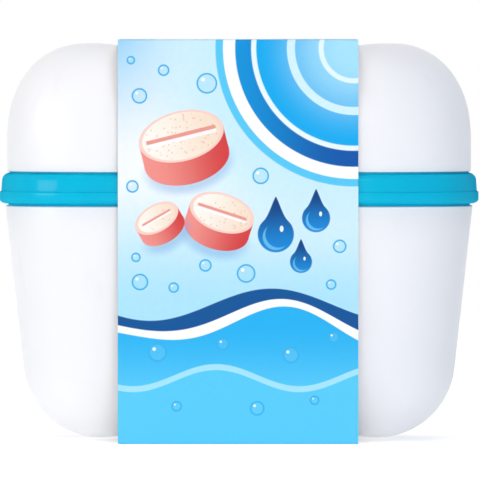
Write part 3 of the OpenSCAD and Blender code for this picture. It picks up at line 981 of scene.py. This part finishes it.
def print_waves(sheet):
    """Two waves across the foot, each edge a height plus one or two sines across the sheet, over
    water that darkens towards the top."""
    swing = (sheet.u * 0.13 + 0.7).maths("SINE")
    ripple = (sheet.u * 0.19 + 2.4).maths("SINE")
    crest = 27 + 3.2 * swing
    second = 13 + 2.2 * ripple
    water = sheet.wire.tint(sheet.v.step(4, 24), ink(96, 208, 247), ink(40, 180, 240))
    for edge, colour in ((crest, ink(12, 85, 150)), (crest - 2.6 - 0.8 * ripple, paper),
                         (crest - 4.4 - 1.2 * ripple, water), (second, ink(168, 230, 251)),
                         (second - 1.2, ink(92, 206, 245))):
        sheet.lay(over(edge - sheet.v), colour)


def print_tablet(sheet, x, y, size, tilt):
    """A scored coral tablet seen from above, size long from middle to end and turned by tilt
    degrees: a soft shadow, the flank, then the pale face with its specks and its groove."""
    wire, turn = sheet.wire, math.radians(tilt)
    along = math.cos(turn) * (sheet.u - x) + math.sin(turn) * (sheet.v - y)
    up = math.cos(turn) * (sheet.v - y) - math.sin(turn) * (sheet.u - x)
    thick = 0.55 * size

    def disc(lower):
        """Distance from the face's middle, or from lower down, along the face's long half."""
        high = (up + lower) / 0.58
        return (along * along + high * high).maths("SQRT")

    def shaded(left, right):
        """A colour that changes along the tablet."""
        return wire.tint(along.step(-size, size), left, right)

    block = over(size - abs(along)) * over(0 - up) * over(up + thick)
    body = (block + under(disc(thick), size)).maths("MINIMUM", 1.0)
    sheet.lay(under(disc(thick + 1.6), size, 1.8) * 0.4, ink(60, 150, 210))
    sheet.lay(body, shaded(ink(246, 150, 140), ink(216, 66, 66)))
    sheet.lay(under(disc(0), size), ink(252, 214, 200))
    sheet.lay(under(disc(0), size - 0.7), shaded(ink(255, 251, 240), ink(250, 226, 202)))
    specks = wire.node("TexVoronoi", {}, {"Vector": sheet.place, "Scale": 1.25})
    speck = under(specks, 0.2, 0.06) * under(disc(0), size - 1.1, 0.3)
    sheet.lay(speck * 0.55, ink(244, 148, 134))
    for offset, half, share, colour in ((-0.05, 0.05, 0.8, paper),
                                        (0.03, 0.045, 1.0, ink(238, 156, 142))):
        groove = under(abs(up - offset * size), half * size, 0.08) * under(disc(0), size - 1.5, 0.2)
        sheet.lay(groove * share, colour)


def print_drop(sheet, x, y, size):
    """A water drop: a round foot of radius size about x, y, drawn up to a tip. Where the height is
    h sizes and the tip is t above it, its half width is 0.541 t (1 - 0.3 t (h - waist)) sizes."""
    tip, waist = 2.1, 0.476
    height = (sheet.v - y) / size
    left = tip - height
    half = 0.541 * left * (1 - 0.3 * left * (height - waist))
    side = abs((sheet.u - x) / size)
    upper = (half - side).step(-0.03, 0.03) * (height - waist).step(-0.01, 0.01) * left.step(0.0, 0.05)
    both = (upper + under(sheet.away(x, y), size)).maths("MINIMUM", 1.0)
    tipwards = (sheet.v - y).step(-size, 1.8 * size)
    sheet.lay(both, sheet.wire.tint(tipwards, ink(24, 138, 214), ink(12, 66, 130)))
    bowl = under(sheet.away(x, y - 0.15 * size), 0.72 * size, 0.1)
    shade = under(sheet.away(x + 0.16 * size, y), 0.74 * size, 0.12)
    sheet.lay(bowl * (1 - shade) * 0.7, ink(120, 205, 245))
    glint = sheet.away(x + 0.32 * size, y + 0.3 * size, 0.6)
    sheet.lay(under(glint, size * 0.17, 0.1), ink(235, 250, 255))


def print_bubble(sheet, x, y, size):
    """A bubble of radius size: a thin film, a fine ring and a glint at its upper right."""
    off = sheet.away(x, y)
    sheet.lay(under(off, size) * 0.25, ink(120, 212, 246))
    sheet.lay(under(abs(off - size), 0.16, 0.08), ink(60, 178, 232))
    sheet.lay(under(sheet.away(x - 0.4 * size, y + 0.4 * size), 0.2 * size, 0.08), paper)


def card_print():
    """Printed, coated board: a pale ground with a blue corner, the pool and the waves, then each
    tablet, drop and bubble at its place and size, and fine flecks in the coating."""
    made, wire, shader = material("printed_card", IOR=1.5, Specular_IOR_Level=0.15)
    sheet = PrintedSheet(wire, ink(176, 230, 250))
    sheet.lay(sheet.v.step(26, 60), paper)
    sheet.lay(under(sheet.away(-34, 94), 24, 22), ink(80, 196, 242))
    print_pool(sheet)
    print_waves(sheet)
    for laid, places in ((print_tablet, tablets), (print_drop, drops), (print_bubble, bubbles)):
        for place in places:
            laid(sheet, *place)
    fleck = noise(wire, 900, 3)
    sheet.lay(fleck.step(0.25, 0.8) * 0.03, ink(90, 110, 130))
    grain = noise(wire, 1800, 3)
    wash = noise(wire, 60, 2)
    connect(wire, shader, Base_Color=sheet.colour, Roughness=0.38 + 0.08 * fleck,
            Normal=bump(wire, grain + 4 * wash, 0.000012, 0.4))
    return made


def raw_card():
    """The uncoated inside and the cut edges: grey-white pulp with short fibres."""
    made, wire, shader = material("raw_card", Roughness=0.85)
    fibre = noise(wire, 1500, 4, (1, 0.3, 0.3))
    base = wire.tint(fibre.step(0.3, 0.75), (*pulp, 1), (*pulp_fibre, 1))
    connect(wire, shader, Base_Color=base, Normal=bump(wire, fibre, 0.00003, 0.5))
    return made


sleeve.data.materials.append(card_print())
sleeve.data.materials.append(raw_card())
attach(sleeve, "sleeve_body")
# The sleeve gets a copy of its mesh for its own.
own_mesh(sleeve)
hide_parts("card_sleeve")


# Floor, sky and lights. The white floor glows to the camera, more so far off, and meets a white
# sky without a line. As light, the sky is dim, and bluish to the right. A low lamp at the left
# and one in front leave the ring's highlights, and the fill lamps leave none.
floor_half = 1.6
floor_back = 1.6
floor_front = -2.5
floor_z = -0.02 * MM
floor_grey = (0.9, 0.9, 0.9, 1)
floor_glow = 0.58
glow_near = (0.8, 0.8, 0.8, 1)
glow_far = (1.4, 1.4, 1.4, 1)
glow_unseen = (0.396, 0.4, 0.408, 1)
sky_seen = (1, 1, 1, 1)
sky_left = (0.095, 0.1, 0.11, 1)
sky_right = (0.12, 0.19, 0.3, 1)
lamp_colour = (1, 0.975, 0.965)
lamp_aim = Vector((0, 0, 40 * MM))
lamps = (
    # name, place, width, height, power, and whether a reflection shows it
    ("side", (-1.8, -0.31, 0.32), 0.8, 0.36, 4.7, True),
    ("front", (0.25, -1.85, 0.95), 0.8, 0.6, 7.2, True),
    ("fill", (0.0, -2.2, 0.3), 1.4, 0.55, 13.7, False),
    ("above", (0.0, -0.5, 1.8), 1.2, 0.9, 10.8, False),
    ("rear", (0.0, 0.6, 1.7), 1.6, 0.8, 5.0, False),
    ("left", (-1.8, 0.5, 0.7), 0.9, 0.9, 7.8, False))


def floor_surface():
    """A flat rectangle, just clear of the sleeve that stands on it."""
    x, y = [-floor_half, floor_half], [floor_front, floor_back]
    points = [(x[a], y[b], floor_z) for a, b in ((0, 0), (1, 0), (1, 1), (0, 1))]
    return np.array(points), [(0, 1, 2, 3)]


def area_lamp(name, place, width, height, power, mirrored):
    """A soft box at place, turned to face the case. One that isn't mirrored leaves no highlight."""
    lamp = bpy.data.lights.new(name, "AREA")
    lamp.shape = "RECTANGLE"
    lamp.size, lamp.size_y = width, height
    lamp.energy = power
    lamp.color = lamp_colour
    obj = bpy.data.objects.new(name, lamp)
    obj.location = place
    obj.rotation_euler = (lamp_aim - Vector(place)).to_track_quat("-Z", "Y").to_euler()
    obj.visible_glossy = mirrored
    bpy.context.scene.collection.objects.link(obj)


def is_seen(wire):
    """1 for what the camera, a reflection or glass shows, and 0 for light on its way."""
    kinds = ("Is Camera Ray", "Is Glossy Ray", "Is Transmission Ray")
    camera_ray, glossy, through = (wire.node("LightPath", out=kind) for kind in kinds)
    return (camera_ray + glossy + through).maths("MINIMUM", 1.0)


def glowing_floor():
    """Matte white, with a glow graded by the distance from the case where it is seen, and a weaker
    glow as light on the case."""
    made, wire, shader = material("floor_paint", Base_Color=floor_grey, Roughness=0.9,
                                  Emission_Strength=floor_glow)
    place = wire.node("TexCoord", out="Object")
    distance = wire.node("VectorMath", {"operation": "LENGTH"}, {0: place}, out="Value")
    glow = wire.tint(distance.step(0.25, 1.2), glow_near, glow_far)
    connect(wire, shader, Emission_Color=wire.tint(is_seen(wire), glow_unseen, glow))
    return made


def studio_sky():
    """A sky that is white where it is seen. As light it is dim, and bluer to the right and down."""
    sky = bpy.data.worlds.new("sky")
    sky.use_nodes = True
    wire = Wire(sky.node_tree)
    way = wire.node("TexCoord", out="Generated")
    across, upward = (wire.node("SeparateXYZ", {}, {0: way}, out=axis) for axis in (0, 2))
    light = wire.tint((across - 0.6 * upward).step(-1.0, 0.9), sky_left, sky_right)
    backdrop = wire.tint(is_seen(wire), light, sky_seen)
    sky.node_tree.links.new(backdrop.socket, sky.node_tree.nodes["Background"].inputs["Color"])
    return sky


floor = piece("floor", *floor_surface())
floor.data.materials.append(glowing_floor())
for lamp in lamps:
    area_lamp(*lamp)
bpy.context.scene.world = studio_sky()
bpy.context.scene.view_settings.view_transform = "Standard"
